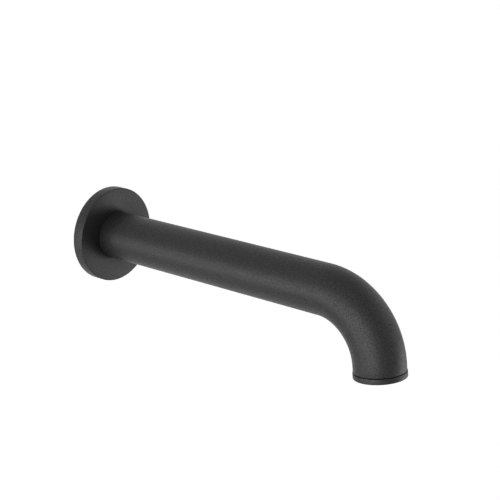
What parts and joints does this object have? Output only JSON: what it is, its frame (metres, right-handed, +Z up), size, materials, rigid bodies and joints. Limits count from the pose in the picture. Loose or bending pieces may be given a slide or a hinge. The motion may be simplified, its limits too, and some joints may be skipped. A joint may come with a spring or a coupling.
{
  "type": "bath spout",
  "caption": "Wall-mounted bath spout: a round tube bent down to a screw-in outlet collar, with a round wall flange and a threaded nipple for the supply.",
  "frame": {"origin": "where the tube's axis meets the finished wall, at the root of the wall thread", "axes": "+Y into the wall, -Y towards the room along the tube, +Z up, +X to the right seen from the room"},
  "size_m": [0.064, 0.2602, 0.0782],
  "materials": {
    "tube_coat": "matte black coat, fine texture",
    "flange_coat": "matte black coat, fine texture",
    "collar_coat": "matte black coat, fine texture",
    "bush_brass": "turned and brazed",
    "nipple_brass": "turned, threaded",
    "seal_rubber": "moulded, matte",
    "screw_steel": "plain stainless",
    "screen_steel": "woven wire",
    "insert_plastic": "moulded"
  },
  "bodies": {
    "root": {"spout_tube": "tube_coat", "wall_flange": "flange_coat", "outlet_housing": "collar_coat", "inlet_bush": "bush_brass", "outlet_bush": "bush_brass", "wall_nipple": "nipple_brass", "nipple_ring_rear": "seal_rubber", "nipple_ring_front": "seal_rubber", "flange_ring": "seal_rubber", "wall_seal": "seal_rubber", "outlet_washer": "seal_rubber", "clamp_screw": "screw_steel", "mesh_screen": "screen_steel", "jet_plate": "insert_plastic", "flow_straightener": "insert_plastic"}
  },
  "joints": []
}
